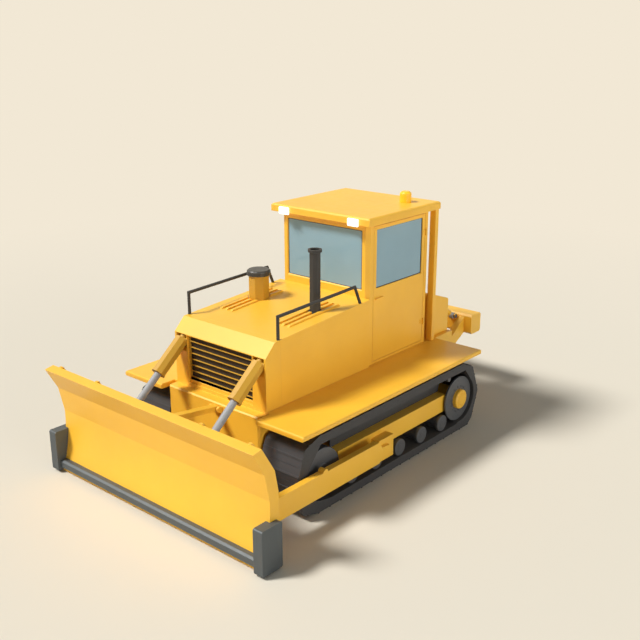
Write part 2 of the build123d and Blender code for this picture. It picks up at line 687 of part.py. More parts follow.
# ================================================================ tracks
BELT = (
    (IDLER_Y - 110, GROUSER_HIGH), (SPROCKET_Y + 195, GROUSER_HIGH), (SPROCKET_Y + 300, SPROCKET_Z - 365),
    (SPROCKET_Y + 434, SPROCKET_Z), (SPROCKET_Y + 275, SPROCKET_Z + 394), (SPROCKET_Y + 29, BELT_TOP),
    (IDLER_Y - 90, BELT_TOP), (IDLER_Y - 335, IDLER_Z + 425), (IDLER_Y - 446, IDLER_Z + 120),
    (IDLER_Y - 375, IDLER_Z - 368))
SPROCKET = (SPROCKET_Y, SPROCKET_Z)
IDLER = (IDLER_Y, IDLER_Z)
REAR_LAST = (SPROCKET_Y + 85, CHAIN_HIGH)
FRONT_LAST = (IDLER_Y - 70, CHAIN_HIGH)
REAR_R = SPROCKET_R + SPROCKET_ROOM
FRONT_R = IDLER_R + SEAT
REAR_ANGLE = tangent_angle(SPROCKET, REAR_R, REAR_LAST, -1)
FRONT_ANGLE = tangent_angle(IDLER, FRONT_R, FRONT_LAST, 1)

with BuildSketch(mode=Mode.PRIVATE) as rim:
    with BuildLine():
        Polyline(*BELT, close=True)
    make_face()
    fillet(rim.vertices(), BELT_CORNER)
rim_wire = rim.sketch.face().outer_wire()

for name, side in SIDES:
    with BuildPart() as track:
        low = span(side, TRACK_IN, TRACK_OUT)[0]
        with BuildSketch(Plane.YZ.offset(low)) as belt:
            add(rim.sketch)
            for index in range(SHOE_COUNT):
                for share, wide, deep, mode in (
                    (0.25, GROUSER_THICK, GROUSER_HIGH, Mode.ADD),
                    (0.75, SHOE_JOINT, SHOE_JOINT, Mode.SUBTRACT)
                ):
                    along = (index + share) / SHOE_COUNT
                    spot, way = rim_wire @ along, rim_wire % along
                    with Locations(Location((spot.X, spot.Y, 0), (0, 0, degrees(atan2(way.Y, way.X))))):
                        Rectangle(wide, 2 * deep, mode=mode)
            with BuildLine():
                Polyline(
                    polar(SPROCKET, REAR_R, REAR_ANGLE), REAR_LAST, FRONT_LAST,
                    polar(IDLER, FRONT_R, FRONT_ANGLE))
                ThreePointArc(
                    polar(IDLER, FRONT_R, FRONT_ANGLE), polar(IDLER, FRONT_R, 200),
                    polar(IDLER, FRONT_R, 265))
                Polyline(
                    polar(IDLER, FRONT_R, 265), (IDLER_Y + 110, CHAIN_LOW), (SPROCKET_Y - 95, CHAIN_LOW),
                    polar(SPROCKET, REAR_R, 265))
                ThreePointArc(
                    polar(SPROCKET, REAR_R, 265), polar(SPROCKET, REAR_R, 340),
                    polar(SPROCKET, REAR_R, REAR_ANGLE))
            make_face(mode=Mode.SUBTRACT)
        extrude(belt.sketch, amount=TRACK_OUT - TRACK_IN)
    label(track.part, f"track_{name}")

with BuildPart() as track_frames:
    for name, side in SIDES:
        slab(
            (
                (FRAME_FRONT, FRAME_LOW), (FRAME_REAR, FRAME_LOW), (FRAME_REAR, FRAME_HIGH - FRAME_BEVEL),
                (FRAME_REAR - FRAME_BEVEL, FRAME_HIGH), (FRAME_FRONT, FRAME_HIGH)
            ), span(side, FRAME_IN, FRAME_OUT))
        # cross members out of the hull
        for y in CROSS_Y:
            block(
                span(side, HULL_HALF, FRAME_IN), (y - CROSS_LONG / 2, y + CROSS_LONG / 2),
                (HULL_BOTTOM + GAP, FRAME_HIGH - 2 * GAP))
        # roller hangers
        hanger = span(side, FRAME_IN, FRAME_IN + HANGER_THICK)
        for index in range(ROLLER_COUNT):
            y = ROLLER_FIRST + index * ROLLER_PITCH
            block(hanger, (y - ROLLER_R / 2, y + ROLLER_R / 2), (CHAIN_LOW + ROLLER_R / 2, FRAME_LOW))
        # yoke arm that carries the idler
        slab(
            (
                (FRAME_FRONT, FRAME_LOW + 2 * GAP), (FRAME_FRONT, FRAME_HIGH - 2 * GAP),
                (IDLER_Y - YOKE_THICK, IDLER_Z + YOKE_THICK), (IDLER_Y - YOKE_THICK, IDLER_Z - YOKE_THICK)
            ), span(side, FRAME_IN, FRAME_IN + YOKE_THICK))
        # pivot block for the blade's push arm, stepped past the rollers
        pivot_span = (TRUNNION_Y - BLOCK_HALF, TRUNNION_Y + BLOCK_HALF)
        block(span(side, FRAME_OUT, BLADE_ARM_IN - SEAT), pivot_span, (FRAME_LOW, BLOCK_HIGH))
        block(span(side, DISC_OUT + GAP, BLADE_ARM_IN - SEAT), pivot_span, (BLOCK_LOW, FRAME_LOW))
        pin_span = span(side, BLADE_ARM_IN - SEAT, BLADE_ARM_IN + TONGUE_WIDE)
        disc((TRUNNION_Y, TRUNNION_Z), TRUNNION_R, pin_span)
label(track_frames.part, "track_frames")

with BuildPart() as track_guards:
    for name, side in SIDES:
        slab(
            (
                (FRAME_FRONT + 2 * GAP, FRAME_HIGH + SEAT), (FRAME_REAR - FRAME_BEVEL, FRAME_HIGH + SEAT),
                (FRAME_REAR, CHAIN_HIGH - CARRIER_R), (FRAME_REAR - FRAME_BEVEL, CHAIN_HIGH - GAP),
                (FRAME_FRONT + 2 * GAP, CHAIN_HIGH - GAP)
            ), span(side, GUARD_OUT - GUARD_THICK, GUARD_OUT))
label(track_guards.part, "track_guards")

with BuildPart() as final_drives:
    for name, side in SIDES:
        disc(SPROCKET, CASE_R, span(side, HULL_HALF, TRACK_IN - 2 * GAP))
        disc(SPROCKET, HUB_R, span(side, TRACK_IN - 2 * GAP, HUB_OUT))
        cap = final_drives.faces().filter_by(Axis.X).sort_by(Axis.X)[-1 if side > 0 else 0]
        chamfer(cap.edges(), HUB_R / 10)
label(final_drives.part, "final_drives")

with BuildPart() as sprockets:
    for name, side in SIDES:
        wheel = span(side, WHEEL_OUT - SPROCKET_THICK, WHEEL_OUT)
        disc(SPROCKET, SPROCKET_R, wheel)
        disc(SPROCKET, HUB_R + SEAT, wheel, Mode.SUBTRACT)
label(sprockets.part, "sprockets")

with BuildPart() as idlers:
    for name, side in SIDES:
        disc(IDLER, IDLER_R, span(side, FRAME_IN + 2 * YOKE_THICK, WHEEL_OUT))
        disc(IDLER, YOKE_THICK, span(side, FRAME_IN + YOKE_THICK, FRAME_IN + 2 * YOKE_THICK))
label(idlers.part, "idlers")

with BuildPart() as track_rollers:
    for name, side in SIDES:
        for index in range(ROLLER_COUNT):
            centre = (ROLLER_FIRST + index * ROLLER_PITCH, CHAIN_LOW + ROLLER_R + SEAT)
            disc(centre, ROLLER_R, span(side, DISC_OUT - FLANGE_THICK, DISC_OUT))
            disc(
                centre, ROLLER_R - FLANGE_HIGH,
                span(side, FRAME_IN + HANGER_THICK, DISC_OUT - FLANGE_THICK))
        disc(
            (CARRIER_Y, CHAIN_HIGH - CARRIER_R - SEAT), CARRIER_R, span(side, GUARD_OUT + SEAT, DISC_OUT))
label(track_rollers.part, "track_rollers")

# ================================================================ blade
def blade_back(z):
    """Y of the mouldboard's back surface at a height."""
    for (low_y, low_z), (high_y, high_z) in zip(BLADE_BACK, BLADE_BACK[1:]):
        if low_z <= z <= high_z:
            return low_y + (high_y - low_y) * (z - low_z) / (high_z - low_z)


def mouldboard_body(x, mode=Mode.ADD):
    """The mouldboard's curved section extruded across an x span."""
    with BuildSketch(Plane.YZ.offset(x[0])) as section:
        with BuildLine():
            Polyline(*BLADE_FACE)
            ThreePointArc(BLADE_FACE[-1], BLADE_CURVE, BLADE_TOE)
            Polyline(BLADE_TOE, *BLADE_BACK, BLADE_FACE[0])
        make_face()
    extrude(section.sketch, amount=x[1] - x[0], mode=mode)


with BuildPart() as mouldboard:
    mouldboard_body((-BLADE_HALF, BLADE_HALF))
    for name, side in SIDES:
        # ears beside the lift rod's eye
        for turn in (-1, 1):
            near = side * CYL_X + turn * (EYE_WIDE / 2 + EAR_SIDE)
            ear = tuple(sorted((near, near + turn * EAR_THICK)))
            tip = [polar((EYE_Y, EYE_Z), EYE_R, angle) for angle in (67.5, 22.5, -22.5, -67.5)]
            slab(
                (
                    (blade_back(EYE_Z + 2 * EYE_R) - EYE_BORE, EYE_Z + 2 * EYE_R), *tip,
                    (blade_back(EYE_Z - 2 * EYE_R) - EYE_BORE, EYE_Z - 2 * EYE_R)
                ), ear)
            near += turn * EAR_THICK
            disc((EYE_Y, EYE_Z), EYE_BORE, tuple(sorted((near, near + turn * EAR_SIDE))))
    for turn in (-1, 1):
        near = BRACE_X + turn * (BRACE_EYE_R + EAR_SIDE)
        ear = tuple(sorted((near, near + turn * EAR_THICK)))
        centre = (BRACE_EYE_Y, BRACE_EYE_Z)
        tip = [polar(centre, BRACE_EYE_R, angle) for angle in (67.5, 22.5, -22.5, -67.5)]
        slab(
            (
                (blade_back(BRACE_EYE_Z + 70) - BRACE_PIN, BRACE_EYE_Z + 70), *tip,
                (blade_back(BRACE_EYE_Z - 110) - BRACE_PIN, BRACE_EYE_Z - 110)
            ), ear)
    # stiffening ribs
    low, middle, high, bend, top = BLADE_BACK[1:]
    for name, side in SIDES:
        for x in RIB_X:
            slab(
                (
                    (low[0] + RIB_DEEP, low[1]), (middle[0] + RIB_DEEP, middle[1]),
                    (high[0] + RIB_DEEP, high[1]), (bend[0] + RIB_DEEP, bend[1]),
                    (top[0] + RIB_DEEP / 2, top[1] + RIB_PEAK), (top[0] - RIB_PEAK, top[1] + RIB_PEAK),
                    (bend[0] - RIB_DEEP / 2, bend[1]), (high[0] - RIB_DEEP / 2, high[1]),
                    (middle[0] - RIB_DEEP / 2, middle[1]), (low[0] - RIB_DEEP / 2, low[1])
                ), span(side, x - RIB_THICK / 2, x + RIB_THICK / 2))
label(mouldboard.part, "mouldboard")

with BuildPart() as cutting_edge:
    slab(
        (
            (EDGE_REAR, EDGE_LOW), (EDGE_FRONT, EDGE_LOW), (EDGE_FRONT, EDGE_NOSE),
            (EDGE_FRONT + EDGE_LIP, EDGE_HIGH), (EDGE_REAR, EDGE_HIGH)
        ), (-EDGE_HALF, EDGE_HALF))
    mouldboard_body((-BLADE_HALF, BLADE_HALF), Mode.SUBTRACT)
label(cutting_edge.part, "cutting_edge")

with BuildPart() as end_bits:
    for name, side in SIDES:
        block(span(side, EDGE_HALF, EDGE_HALF + BIT_THICK), (BIT_FRONT, BIT_REAR), (BIT_LOW, BIT_HIGH))
    fillet(end_bits.edges().filter_by(Axis.X), BIT_ROUND)
    mouldboard_body((-BLADE_HALF, BLADE_HALF), Mode.SUBTRACT)
label(end_bits.part, "end_bits")

for name, side in SIDES:
    with BuildPart() as push_arm:
        x = span(side, BLADE_ARM_IN, BLADE_ARM_OUT)
        slab(
            (
                (blade_back(ARM_HIGH), ARM_HIGH), (TRUNNION_Y - ARM_NECK, ARM_HIGH),
                (TRUNNION_Y - ARM_HEAD, ARM_HEAD_HIGH), (TRUNNION_Y - ARM_HEAD, ARM_HEAD_LOW),
                (TRUNNION_Y - ARM_NECK, ARM_LOW), (blade_back(ARM_LOW), ARM_LOW),
                (blade_back(BLADE_BACK[2][1]), BLADE_BACK[2][1])
            ), x)
        disc((LUG_Y, ARM_HIGH), LUG_R, x)
        # tongue and eye on the trunnion
        tongue = span(side, BLADE_ARM_IN, BLADE_ARM_IN + TONGUE_WIDE)
        slab(
            (
                (TRUNNION_Y - ARM_NECK, ARM_HEAD_HIGH), (TRUNNION_Y, TRUNNION_Z + ARM_EYE),
                (TRUNNION_Y, TRUNNION_Z - ARM_EYE), (TRUNNION_Y - ARM_NECK, ARM_HEAD_LOW)
            ), tongue)
        disc((TRUNNION_Y, TRUNNION_Z), ARM_EYE, tongue)
        disc((TRUNNION_Y, TRUNNION_Z), TRUNNION_R + SEAT, tongue, Mode.SUBTRACT)
    label(push_arm.part, f"push_arm_{name}")

# ================================================================ lift cylinders and brace
PIVOT = (PIVOT_Y, PIVOT_Z)
EYE = (EYE_Y, EYE_Z)
LIFT_LONG = hypot(EYE_Y - PIVOT_Y, EYE_Z - PIVOT_Z)
for name, side in SIDES:
    axis = aim(side * CYL_X, PIVOT, EYE)
    with BuildPart() as lift_barrel:
        stem(axis, -TAIL_LONG, 0, TAIL_R)
        octagon(axis, 0, GLAND_AT - COLLAR_LONG, BARREL_HALF)
        octagon(axis, GLAND_AT - COLLAR_LONG, GLAND_AT, COLLAR_HALF)
        disc(PIVOT, PIN_R, span(side, CYL_X - PIN_REACH, CYL_X + PIN_REACH))
        stem(axis, -TAIL_LONG + 2 * GAP - 4, GLAND_AT, ROD_R + SEAT, Mode.SUBTRACT)
    label(lift_barrel.part, f"lift_barrel_{name}")
    with BuildPart() as lift_rod:
        stem(axis, ROD_INNER, LIFT_LONG - EYE_R / 2, ROD_R)
        eye = span(side, CYL_X - EYE_WIDE / 2, CYL_X + EYE_WIDE / 2)
        disc(EYE, EYE_R, eye)
        disc(EYE, EYE_BORE, eye, Mode.SUBTRACT)
    label(lift_rod.part, f"lift_rod_{name}")

with BuildPart() as brace_link:
    rear, front = (BRACE_Y, BRACE_Z), (BRACE_EYE_Y, BRACE_EYE_Z)
    axis = aim(BRACE_X, rear, front)
    with BuildSketch(axis) as bar:
        Rectangle(2 * BRACE_EYE_R, 2 * BRACE_BAR)
    extrude(bar.sketch, amount=hypot(front[0] - rear[0], front[1] - rear[1]))
    wide = (BRACE_X - BRACE_EYE_R, BRACE_X + BRACE_EYE_R)
    disc(rear, BRACE_EYE_R - 12, wide)
    disc(front, BRACE_EYE_R, wide)
    disc(rear, BRACE_PIN + SEAT, wide, Mode.SUBTRACT)
    disc(front, BRACE_PIN, wide, Mode.SUBTRACT)
label(brace_link.part, "brace_link")

# ================================================================ ripper
HINGE = (RIP_Y, RIP_Z)
TOP = (RIP_TOP_Y, RIP_TOP_Z)
ROD_EYE = (RIP_ROD_EYE_Y, RIP_ROD_EYE_Z)
with BuildPart() as ripper_mount:
    plate_rear = HULL_REAR + RIP_PLATE
    window_low, window_high = DECK - 300, DECK + 190
    block(
        (-RIP_MOUNT_HALF, RIP_MOUNT_HALF), (HULL_REAR, plate_rear), (RIP_MOUNT_LOW, RIP_MOUNT_HIGH))
    block(
        (-RIP_CYL_X + 100, RIP_CYL_X - 100), (HULL_REAR, plate_rear), (window_low, window_high),
        Mode.SUBTRACT)
    block(
        (-RIP_CYL_X + 100, RIP_CYL_X - 100), (HULL_REAR, plate_rear),
        (RIP_MOUNT_LOW, HULL_BOTTOM + BELLY_RISE), Mode.SUBTRACT)
    for name, side in SIDES:
        for middle, half, centre, radius, pin in (
            (RIP_ARM_X, RIP_ARM_THICK / 2, HINGE, RIP_EYE_R + GAP, RIP_PIN),
            (RIP_CYL_X, RIP_BARREL_R, TOP, RIP_EYE_R - GAP, 0)
        ):
            for turn in (-1, 1):
                near = side * middle + turn * (half + GAP)
                ear = tuple(sorted((near, near + turn * RIP_EAR)))
                tip = [polar(centre, radius, angle) for angle in (-67.5, -22.5, 22.5, 67.5)]
                slab(
                    (
                        (plate_rear - GAP, centre[1] - 2 * radius), *tip,
                        (plate_rear - GAP, centre[1] + radius)
                    ), ear)
            if pin:
                disc(centre, pin, span(side, middle - half - GAP, middle + half + GAP))
            else:
                disc(centre, PIN_R + SEAT, span(side, middle - half - 60, middle + half + 60), Mode.SUBTRACT)
label(ripper_mount.part, "ripper_mount")

with BuildPart() as ripper_frame:
    block((-RIP_HALF, RIP_HALF), (BEAM_FRONT, BEAM_REAR), (BEAM_LOW, BEAM_HIGH))
    chamfer(ripper_frame.edges().filter_by(Axis.X), 30)
    for name, side in SIDES:
        arm = span(side, RIP_ARM_X - RIP_ARM_THICK / 2, RIP_ARM_X + RIP_ARM_THICK / 2)
        tip = [polar(HINGE, RIP_EYE_R, angle) for angle in (105, 145, 180, 215, 250, 290)]
        slab(
            (
                *tip, (BEAM_FRONT + GAP, BEAM_LOW + GAP), (BEAM_FRONT + GAP, BEAM_HIGH - 40)
            ), arm)
        disc(HINGE, RIP_PIN + SEAT, arm, Mode.SUBTRACT)
        for turn in (-1, 1):
            near = side * RIP_CYL_X + turn * (RIP_ROD_EYE_WIDE / 2 + EAR_SIDE)
            ear = tuple(sorted((near, near + turn * EAR_THICK)))
            slab(
                (
                    (BEAM_FRONT + 20, ROD_EYE[1] - 110), (ROD_EYE[0], ROD_EYE[1] - RIP_ROD_EYE_R),
                    (ROD_EYE[0] - 24, ROD_EYE[1] + 20), (ROD_EYE[0], ROD_EYE[1] + RIP_ROD_EYE_R - 4),
                    (BEAM_FRONT + 20, BEAM_HIGH - 35)
                ), ear)
    block(
        (-SHANK_THICK / 2 - SEAT, SHANK_THICK / 2 + SEAT),
        (SHANK_FRONT - SEAT, SHANK_FRONT + SHANK_DEEP + SEAT), (BEAM_LOW, BEAM_HIGH), Mode.SUBTRACT)
label(ripper_frame.part, "ripper_frame")

with BuildPart() as ripper_shank:
    shank_rear = SHANK_FRONT + SHANK_DEEP
    shank = (-SHANK_THICK / 2, SHANK_THICK / 2)
    slab(
        (
            (SHANK_FRONT, SHANK_TOP), (SHANK_FRONT, BEAM_LOW - 200), (SHANK_FRONT - 70, SHANK_LOW + 160),
            (SHANK_FRONT - 150, SHANK_LOW), (SHANK_FRONT - 20, SHANK_LOW + 40),
            (shank_rear - 40, SHANK_LOW + 180), (shank_rear, BEAM_LOW - 150), (shank_rear, SHANK_TOP)
        ), shank)
label(ripper_shank.part, "ripper_shank")

RIP_LONG = hypot(ROD_EYE[0] - TOP[0], ROD_EYE[1] - TOP[1])
with BuildPart() as ripper_barrels:
    for name, side in SIDES:
        axis = aim(side * RIP_CYL_X, TOP, ROD_EYE)
        octagon(axis, -RIP_TAIL, RIP_GLAND_AT, RIP_BARREL_R)
        disc(TOP, PIN_R, span(side, RIP_CYL_X - RIP_BARREL_R - RIP_EAR, RIP_CYL_X + RIP_BARREL_R + RIP_EAR))
        stem(axis, -RIP_TAIL + 4 * GAP, RIP_GLAND_AT, RIP_ROD_R + SEAT, Mode.SUBTRACT)
label(ripper_barrels.part, "ripper_barrels")

with BuildPart() as ripper_rods:
    for name, side in SIDES:
        axis = aim(side * RIP_CYL_X, TOP, ROD_EYE)
        stem(axis, RIP_ROD_INNER, RIP_LONG - RIP_ROD_EYE_R / 2, RIP_ROD_R)
        eye = span(side, RIP_CYL_X - RIP_ROD_EYE_WIDE / 2, RIP_CYL_X + RIP_ROD_EYE_WIDE / 2)
        disc(ROD_EYE, RIP_ROD_EYE_R, eye)
        disc(ROD_EYE, RIP_ROD_EYE_R / 2, eye, Mode.SUBTRACT)
label(ripper_rods.part, "ripper_rods")
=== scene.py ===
"""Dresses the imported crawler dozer: finishes, small parts, seat pads, floor, lights and camera.

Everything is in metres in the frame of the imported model: +X machine's left, -Y forward, +Z up.
"""

from math import cos, exp, pi, radians, sin

import bmesh
import bpy
from mathutils import Matrix, Vector


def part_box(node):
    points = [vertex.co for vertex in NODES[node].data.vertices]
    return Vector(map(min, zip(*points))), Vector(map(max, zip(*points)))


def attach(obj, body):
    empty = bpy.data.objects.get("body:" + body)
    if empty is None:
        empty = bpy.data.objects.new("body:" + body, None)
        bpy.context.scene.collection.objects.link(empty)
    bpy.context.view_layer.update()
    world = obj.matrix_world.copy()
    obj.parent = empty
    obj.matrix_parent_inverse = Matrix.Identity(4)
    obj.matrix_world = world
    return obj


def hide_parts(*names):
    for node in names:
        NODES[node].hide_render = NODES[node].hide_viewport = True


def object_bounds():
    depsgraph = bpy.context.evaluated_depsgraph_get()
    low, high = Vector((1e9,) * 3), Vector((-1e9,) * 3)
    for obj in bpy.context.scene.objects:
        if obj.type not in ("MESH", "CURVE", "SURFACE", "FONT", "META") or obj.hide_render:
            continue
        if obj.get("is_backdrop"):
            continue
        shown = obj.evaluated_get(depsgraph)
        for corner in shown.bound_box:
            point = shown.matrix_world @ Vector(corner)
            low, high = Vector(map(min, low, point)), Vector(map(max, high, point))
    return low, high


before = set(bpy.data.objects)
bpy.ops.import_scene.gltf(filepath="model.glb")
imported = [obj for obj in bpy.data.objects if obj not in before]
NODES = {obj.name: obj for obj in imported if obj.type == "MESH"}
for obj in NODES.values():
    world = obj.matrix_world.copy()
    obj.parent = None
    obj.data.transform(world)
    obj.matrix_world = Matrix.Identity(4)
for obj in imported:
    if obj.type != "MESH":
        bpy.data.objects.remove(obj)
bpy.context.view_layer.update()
SIDES = (1, -1)     # left and right
X, Y, Z = Vector((1, 0, 0)), Vector((0, 1, 0)), Vector((0, 0, 1))

# ---------------------------------------------------------------- camera
AZIMUTH = radians(40.794)
ELEVATION = radians(18.077)
ROLL = radians(-0.09)
DISTANCE = 11.797
AIM = Vector((0, 0, 1.611))

camera_data = bpy.data.cameras.new("camera")
camera_data.lens = 50.8
camera_data.sensor_width = 36
camera_data.clip_end = 300
camera = bpy.data.objects.new("camera", camera_data)
bpy.context.scene.collection.objects.link(camera)
back = Vector((sin(AZIMUTH) * cos(ELEVATION), -cos(AZIMUTH) * cos(ELEVATION), sin(ELEVATION)))
camera.location = AIM + back * DISTANCE
camera.rotation_mode = "QUATERNION"
camera.rotation_quaternion = (-back).to_track_quat("-Z", "Y") @ Matrix.Rotation(ROLL, 3, "Z").to_quaternion()
bpy.context.scene.camera = camera
bpy.context.scene.view_settings.view_transform = "Standard"


# ---------------------------------------------------------------- finishes
def linear(*rgb):
    """Linear colour with alpha from 0-255 display values."""
    return tuple(((c / 255 + 0.055) / 1.055) ** 2.4 for c in rgb) + (1,)


def scaled(colour, factor):
    """A linear colour made darker or lighter."""
    return tuple(min(1, c * factor) for c in colour[:3]) + (1,)


def node(tree, kind, inputs=(), **settings):
    """Add a shader node; inputs are values or sockets to link from."""
    made = tree.nodes.new("ShaderNode" + kind)
    for key, value in settings.items():
        setattr(made, key, value)
    for key, value in dict(inputs).items():
        if isinstance(value, bpy.types.NodeSocket):
            tree.links.new(value, made.inputs[key])
        else:
            made.inputs[key].default_value = value
    return made


def noise(tree, place, scale, detail=3.0, rough=0.5):
    settings = {"Vector": place, "Scale": scale, "Detail": detail, "Roughness": rough}
    return node(tree, "TexNoise", settings).outputs["Fac"]


def ramp(tree, value, start, end, low=0.0, high=1.0):
    """Map a value from start..end to low..high, held at both ends."""
    return node(
        tree, "MapRange",
        {"Value": value, "From Min": start, "From Max": end, "To Min": low, "To Max": high}).outputs["Result"]


def times(tree, a, b, operation="MULTIPLY"):
    """The product of two values, or another operation on them."""
    return node(tree, "Math", {0: a, 1: b}, operation=operation).outputs[0]


def blend(tree, share, first, second):
    return node(tree, "MixRGB", {"Fac": share, "Color1": first, "Color2": second}).outputs["Color"]


def edge_mask(tree, radius, reach):
    """1 along edges, where the edge wear and the painted edge highlight go, 0 on flat ground, from a rounded
    normal.
    """
    soft = node(tree, "Bevel", {"Radius": radius}, samples=4).outputs["Normal"]
    hard = node(tree, "NewGeometry").outputs["Normal"]
    same = node(tree, "VectorMath", {0: soft, 1: hard}, operation="DOT_PRODUCT").outputs["Value"]
    return ramp(tree, same, 0.995, 1 - reach)


def surface(
    name, colour, rough=0.5, metal=0.0, vary=0.05, cloud=1.3, grain=140.0, bump=0.05,
    edge=None, edge_share=0.5, edge_radius=0.012, coat=0.0, grime=0.0, paint_over=None):
    """A painted, metal or plastic finish with clouding, grain, settled grime and a lighter colour along
    edges: wear on the steel finishes, a painted highlight on the yellow paints and the chrome rods.

    paint_over is (height, colour): above that height the finish has the second colour."""
    made = bpy.data.materials.new(name)
    made.use_nodes = True
    tree = made.node_tree
    shader = tree.nodes["Principled BSDF"]
    place = node(tree, "TexCoord").outputs["Object"]
    broad = noise(tree, place, cloud, 5.0, 0.55)
    fine = noise(tree, place, grain)
    spots = noise(tree, place, cloud * 9, 6.0, 0.65)
    tone = blend(tree, ramp(tree, broad, 0.3, 0.7), scaled(colour, 1 - vary), scaled(colour, 1 + vary))
    if paint_over:
        level = node(tree, "SeparateXYZ", {0: place}).outputs["Z"]
        over = ramp(tree, level, paint_over[0] - 0.0005, paint_over[0] + 0.0005)
        tone = blend(tree, over, tone, paint_over[1])
    if grime:
        low = ramp(tree, node(tree, "SeparateXYZ", {0: place}).outputs["Z"], 1.2, 0.0)
        dirt = times(tree, times(tree, low, ramp(tree, spots, 0.42, 0.75)), grime)
        tone = blend(tree, dirt, tone, linear(150, 130, 100))
    if edge:
        # edge colour laid along edges: wear on the steel finishes, a painted highlight on the yellow paints
        # and the rods
        edge_wear_and_highlight = times(tree, edge_mask(tree, edge_radius, 0.3), ramp(tree, spots, 0.3, 0.6, 0.45, 1.0))
        tone = blend(tree, times(tree, edge_wear_and_highlight, edge_share), tone, edge)
    tree.links.new(tone, shader.inputs["Base Color"])
    dull = times(tree, ramp(tree, spots, 0.25, 0.75, -0.06, 0.07), rough, "ADD")
    tree.links.new(dull, shader.inputs["Roughness"])
    shader.inputs["Metallic"].default_value = metal
    shader.inputs["Coat Weight"].default_value = coat
    shader.inputs["Coat Roughness"].default_value = 0.25
    relief = times(tree, fine, times(tree, spots, 0.6), "ADD")
    tree.links.new(
        node(tree, "Bump", {"Height": relief, "Strength": bump, "Distance": 0.004}).outputs["Normal"],
        shader.inputs["Normal"])
    return made


def glow(made, colour, strength):
    """Let a finish shine by itself."""
    shader = made.node_tree.nodes["Principled BSDF"]
    shader.inputs["Emission Color"].default_value = colour
    shader.inputs["Emission Strength"].default_value = strength
    return made


def glass(name, colour, share):
    """Tinted window: part clear, part body tint, with a faint clouding of dust."""
    made = surface(name, colour, rough=0.08, vary=0.05, cloud=1.0, grain=30, bump=0.01)
    shader = made.node_tree.nodes["Principled BSDF"]
    shader.inputs["Transmission Weight"].default_value = share
    shader.inputs["IOR"].default_value = 1.45
    return made


def fins(made, pitch, depth):
    """Cut upright fins into a finish, as on a radiator core."""
    tree = made.node_tree
    place = node(tree, "TexCoord").outputs["Object"]
    stripes = node(
        tree, "TexWave", {"Vector": place, "Scale": 0.5 / pitch, "Distortion": 0.0},
        wave_type="BANDS", bands_direction="X").outputs["Fac"]
    bump = node(tree, "Bump", {"Height": stripes, "Strength": depth, "Distance": pitch}).outputs["Normal"]
    tree.links.new(bump, tree.nodes["Principled BSDF"].inputs["Normal"])
    return made


def weave(name, colour):
    """Seat cloth: crossed threads with fleck and sheen."""
    made = surface(name, colour, rough=0.9, vary=0.12, cloud=7.0, grain=500, bump=0.2)
    tree = made.node_tree
    shader = tree.nodes["Principled BSDF"]
    place = node(tree, "TexCoord").outputs["Object"]
    threads = [
        node(
            tree, "TexWave", {"Vector": place, "Scale": 160.0, "Distortion": 0.6},
            bands_direction=way).outputs["Fac"]
        for way in "XZ"]
    relief = times(tree, threads[0], threads[1], "MAXIMUM")
    bump = node(tree, "Bump", {"Height": relief, "Strength": 0.5, "Distance": 0.002}).outputs["Normal"]
    tree.links.new(bump, shader.inputs["Normal"])
    shader.inputs["Sheen Weight"].default_value = 0.4
    return made


YELLOW = linear(253, 193, 58)
DARK = linear(50, 49, 48)
# painted highlight: a light tint laid along the rounded edges of the yellow paints
PAINTED_EDGE_HIGHLIGHT = linear(255, 214, 120)
FINISH = {
    "yellow_paint": surface("yellow_paint", YELLOW, 0.42, edge=PAINTED_EDGE_HIGHLIGHT, edge_share=0.4, coat=0.12),
    "dark_paint": surface("dark_paint", DARK, 0.62, edge=linear(92, 90, 88), edge_share=0.35),
    "track_steel": surface(
        "track_steel", linear(62, 62, 64), 0.66, metal=0.1, vary=0.05, cloud=3, bump=0.06,
        edge=linear(84, 84, 86), edge_share=0.25, grime=0.02),
    "wear_steel": surface(
        "wear_steel", linear(84, 90, 93), 0.5, metal=0.3, vary=0.05, cloud=2.5, bump=0.07,
        edge=linear(135, 138, 140), edge_share=0.5, grime=0.04),
    "running_steel": surface(
        "running_steel", linear(90, 92, 96), 0.5, metal=0.3, vary=0.05, cloud=4, bump=0.06,
        edge=linear(130, 130, 134), edge_share=0.45, grime=0.03),
    # the rods' near-white edge colour is a painted highlight
    "rod_chrome": surface(
        "rod_chrome", linear(160, 162, 164), 0.6, metal=0.05, vary=0.03, cloud=3, grain=60, bump=0.01,
        edge=linear(215, 222, 226), edge_share=0.3),
    "window_glass": glass("window_glass", linear(150, 184, 200), 0.16),
    "lamp": glow(
        surface("lamp", linear(250, 248, 240), 0.25, vary=0.02, grain=60, bump=0.03), (1, 0.97, 0.9, 1), 1.6),
    "beacon_lens": glow(
        surface("beacon_lens", linear(255, 196, 40), 0.3, vary=0.04), linear(255, 190, 30), 0.12),
    "seat_cloth": weave("seat_cloth", linear(62, 62, 66)),
    "dark_plastic": surface("dark_plastic", linear(52, 52, 54), 0.6, vary=0.06, grain=420, bump=0.18),
    "engine_iron": fins(surface("engine_iron", linear(64, 54, 47), 0.75, metal=0.1, vary=0.1), 0.012, 0.5),
}
# painted shade: a darker copy of the yellow for the slats, lift barrels and pre-cleaner, which are shaded
SHADED_YELLOW = scaled(YELLOW, 0.62)      # slats, lift barrels and pre-cleaner
SHADED_FINISH = surface("shaded_paint", SHADED_YELLOW, 0.5, edge=scaled(PAINTED_EDGE_HIGHLIGHT, 0.7), edge_share=0.3)
CLEANER_CAP = 0.0725                    # height of the pre-cleaner's dark cap
# the pre-cleaner's body takes the painted-shade yellow; its cap is dark paint
CLEANER_FINISH = surface(
    "cleaner_paint", SHADED_YELLOW, 0.42, edge=PAINTED_EDGE_HIGHLIGHT, edge_share=0.4, coat=0.12,
    paint_over=(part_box("pre_cleaner")[1].z - CLEANER_CAP, DARK))

